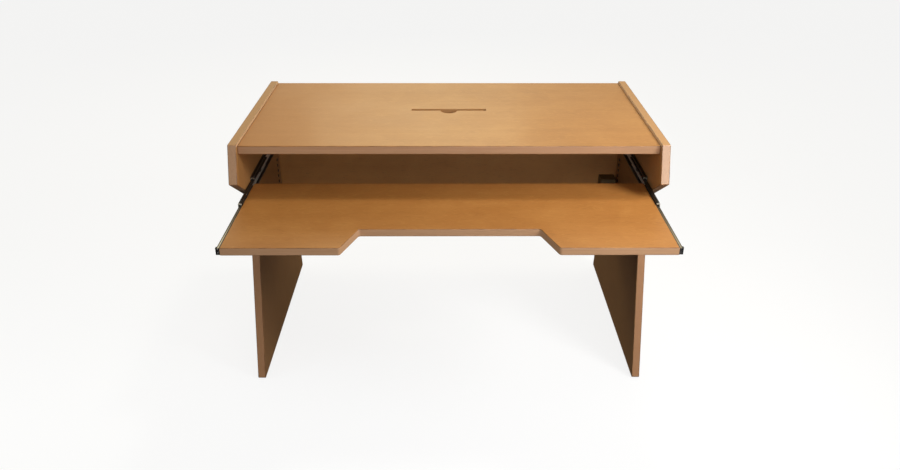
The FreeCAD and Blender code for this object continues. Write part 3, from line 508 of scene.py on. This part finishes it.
def race_mouths(side):
    """Pale arched guides on the front ends of a cabinet member's curls.

    A round bead is carried along a half circle over each curl's mouth: the path is the half circle, the
    profile a circle flattened along the slide, and both ends of the path close in a point.
    """
    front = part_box(f"{side}_cabinet_member")[0].y
    bead = 1.1 * MILLIMETRE
    arch = 5.0 * MILLIMETRE
    from_face = 6.4 * MILLIMETRE
    half = 18.4 * MILLIMETRE
    stands_out = 0.3 * bead
    flattened = 0.7
    steps = 48
    bluntness = 12
    along = np.linspace(0.0, math.pi, steps)
    around = np.linspace(0.0, 2 * math.pi, 14, endpoint=False)
    end = np.sqrt(1 - np.linspace(-1, 1, steps) ** bluntness)
    reach = arch + np.outer(end, np.cos(around)) * bead
    x = SIDES[side] * (INNER_FACE - from_face) + reach * np.cos(along)[:, None]
    y = front - stands_out + np.outer(end, np.sin(around)) * bead * flattened
    rise = half + reach * np.sin(along)[:, None]
    grids = np.array([np.stack((x, y, SLIDE_AXIS + way * rise), axis=-1) for way in (1, -1)])
    fitting(f"{side}_race_mouths", surface("race_mouths", grids, closed=True), "cap_nylon", "frame")


def drive_faces(name, spots, out, radius, crown, flat, slot="zinc"):
    """Heads with a cross recess.

    The height over a disc, by radius and angle, is a crown that falls to the rim over the part outside
    flat. Two crossed arms with sloping walls are taken out of it, and a lower disc closes the shell. The
    arms' measures are parts of the radius, the recess and the disc's drop parts of the crown.
    """
    arm_length = 0.62
    arm_width = 0.13
    arm_wall = 0.05
    recess = 0.9
    drop = 0.3
    rows = np.linspace(0.0, 1.0, 40)
    turn = np.linspace(0.0, 2 * math.pi, 112, endpoint=False)
    first = np.outer(rows, np.cos(turn)) * radius
    second = np.outer(rows, np.sin(turn)) * radius
    fall = np.clip((rows - flat) / (1 - flat), 0.0, 1.0)
    height = np.repeat((crown * np.sqrt(1 - fall ** 2))[:, None], len(turn), axis=1)

    def arm(a, b):
        inside = np.minimum(arm_length - np.abs(a) / radius, arm_width - np.abs(b) / radius)
        return np.clip(inside / arm_wall, 0.0, 1.0)

    height = height * (1 - recess * np.maximum(arm(first, second), arm(second, first)))
    first = np.concatenate((first, first[-1:], first[:1]))
    second = np.concatenate((second, second[-1:], second[:1]))
    height = np.concatenate((height, np.full((2, len(turn)), -drop * crown)))
    normal = np.array(out, float)
    across = np.roll(normal, 1)
    upward = np.cross(normal, across)
    disc = first[..., None] * across + second[..., None] * upward + height[..., None] * normal
    grids = np.array(spots)[:, None, None, :] + disc
    fitting(name, surface(name, grids, closed=True), slot, "frame")


def head_spots(node, radius, face):
    """Middles of heads at the corners of their node's box, on the face given by axis number and end."""
    axis, which = face
    low, high = (np.array(corner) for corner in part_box(node))
    ends = [(low[i] + radius, high[i] - radius) for i in range(3)]
    ends[axis] = ((low, high)[which][axis],)
    return [(x, y, z) for x in ends[0] for y in ends[1] for z in ends[2]]


CAM_RADIUS = 7.4 * MILLIMETRE
CAM_CROWN = 0.5 * MILLIMETRE
CAM_FLAT = 0.88
SCREW_RADIUS = 3 * MILLIMETRE
SCREW_CROWN = 0.6 * MILLIMETRE
SCREW_FLAT = 0.2
for side in SIDES:
    race_mouths(side)
drive_faces("top_cam_faces", head_spots("top_cam_locks", CAM_RADIUS, (2, 0)), (0, 0, -1),
            CAM_RADIUS, CAM_CROWN, CAM_FLAT)
drive_faces("back_cam_faces", head_spots("back_cam_locks", CAM_RADIUS, (1, 1)), (0, 1, 0),
            CAM_RADIUS, CAM_CROWN, CAM_FLAT)

# The two cover screws stand one above the other, so the last two corners of their box are doubles
cover_spots = head_spots("cable_box_cover_screws", SCREW_RADIUS, (1, 0))[:2]
drive_faces("box_screw_faces", cover_spots, (0, -1, 0),
            SCREW_RADIUS, SCREW_CROWN, SCREW_FLAT, "slide_black")


# Stage: pale floor, soft lights and the camera

def pale_floor():
    """Pale floor that turns up far away.

    Radius and height follow a flat run and then a quarter circle, carried round by angle. It is bright by
    itself and gives the desk no light, so the lamps and the sky alone set the desk's tones.
    """
    flat = 9.0
    bend = 7.0
    rise = np.linspace(0.0, math.pi / 2, 17)
    radius = np.concatenate(([0.0], flat + bend * np.sin(rise)))
    height = np.concatenate(([0.0], bend * (1 - np.cos(rise))))
    turn = np.linspace(0.0, 2 * math.pi, 96, endpoint=False)
    grid = np.stack((np.outer(radius, np.cos(turn)), np.outer(radius, np.sin(turn)),
                     np.outer(height, np.ones_like(turn))), axis=-1)
    mesh = surface("pale_floor", grid[None], closed=True)
    finish = Finish.material("floor_paint")
    cloud = finish.noise(finish.stretched(3, 3, 3), detail=3.0)
    colour = finish.mix(cloud, rgb(0.165, 0.165, 0.165), rgb(0.175, 0.175, 0.175))
    mesh.materials.append(finish.done(Base_Color=colour, Roughness=0.8, Emission_Color=rgb(1.0, 1.0, 1.0),
                                      Emission_Strength=0.84, Specular_IOR_Level=0.0))
    floor = bpy.data.objects.new("pale_floor", mesh)
    scene.collection.objects.link(floor)
    floor.visible_diffuse = False
    floor.visible_glossy = False
    floor.visible_shadow = False


def soft_light(name, place, aim, width, height, power, colour=(1.0, 1.0, 1.0), beam=180):
    """Rectangular soft light that looks from its place to its aim, its beam in degrees."""
    data = bpy.data.lights.new(name, "AREA")
    data.shape = "RECTANGLE"
    data.size = width
    data.size_y = height
    data.energy = power
    data.color = colour
    data.spread = math.radians(beam)
    light = bpy.data.objects.new(name, data)
    light.location = place
    light.rotation_euler = (Vector(aim) - Vector(place)).to_track_quat("-Z", "Y").to_euler()
    scene.collection.objects.link(light)


def sky(above, behind, below, tint):
    """Even sky, dim below the horizon, with one tinted bank of light low behind the desk."""
    finish = Finish(bpy.data.worlds.new("studio_sky"))
    place = finish.node("TexCoord", out="Generated")
    rise = finish.axis(place, "Z")
    over = finish.step(rise, -0.05, 0.05)
    rearward = finish.step(finish.axis(place, "Y"), -0.4, 0.4)
    bank = finish.step(rise, 0.75, 0.35) * over * rearward * behind
    level = below + over * (above - below)
    colour = finish.mix(bank / (bank + level), rgb(1.0, 1.0, 1.0), rgb(*tint))
    light = finish.node("Background", inputs={"Color": colour, "Strength": bank + level})
    finish.node("OutputWorld", inputs={"Surface": light})
    scene.world = finish.owner


def camera():
    """Camera at the photograph's place, solved from the desk's straight edges."""
    place = Vector((-0.01226, -2.3014, 1.60166))
    pitch = math.radians(27.25)
    yaw = math.radians(0.40)
    roll = math.radians(0.12)
    picture_width = 900
    focal_pixels = 786.26
    data = bpy.data.cameras.new("photo_camera")
    data.sensor_fit = "HORIZONTAL"
    data.sensor_width = 36.0
    data.lens = data.sensor_width * focal_pixels / picture_width
    data.clip_end = 200.0
    ahead = math.cos(pitch)
    forward = Vector((math.sin(yaw) * ahead, math.cos(yaw) * ahead, -math.sin(pitch)))
    level = Vector((math.cos(yaw), -math.sin(yaw), 0.0))
    upward = level.cross(forward)
    across = level * math.cos(roll) + upward * math.sin(roll)
    above = upward * math.cos(roll) - level * math.sin(roll)
    turn = Matrix((across, above, -forward)).transposed()
    view = bpy.data.objects.new("photo_camera", data)
    view.matrix_world = Matrix.Translation(place) @ turn.to_4x4()
    scene.collection.objects.link(view)
    scene.camera = view


WARM = (1.0, 0.88, 0.54)
CREAM = (1.0, 0.97, 0.82)
COOL = (0.86, 0.95, 1.0)
pale_floor()
sky(above=0.23, behind=0.76, below=0.02, tint=WARM)
soft_light("key_panel", (1.62, -1.05, 1.69), (0.55, -0.25, 0.65), 0.65, 0.65, power=8.4, beam=90)
soft_light("right_panel", (1.25, -2.5, 1.4), (0.2, -0.2, 0.6), 0.8, 0.8, power=9.5)
soft_light("front_panel", (0.45, -2.25, 0.85), (0.3, 0.0, 0.6), 0.8, 0.6, power=8.8)
soft_light("left_panel", (-2.1, -0.75, 1.1), (0.5, -0.15, 0.7), 0.8, 0.6, power=7.2, colour=COOL)
soft_light("overhead_panel", (0.55, 0.24, 3.0), (0.3, 0.0, 0.7), 0.45, 0.35, power=19.0, colour=CREAM)
soft_light("rear_panel", (-0.2, 3.35, 2.5), (0.0, 0.1, 0.7), 1.6, 1.2, power=22.5, colour=WARM)
camera()
scene.view_settings.view_transform = "Standard"
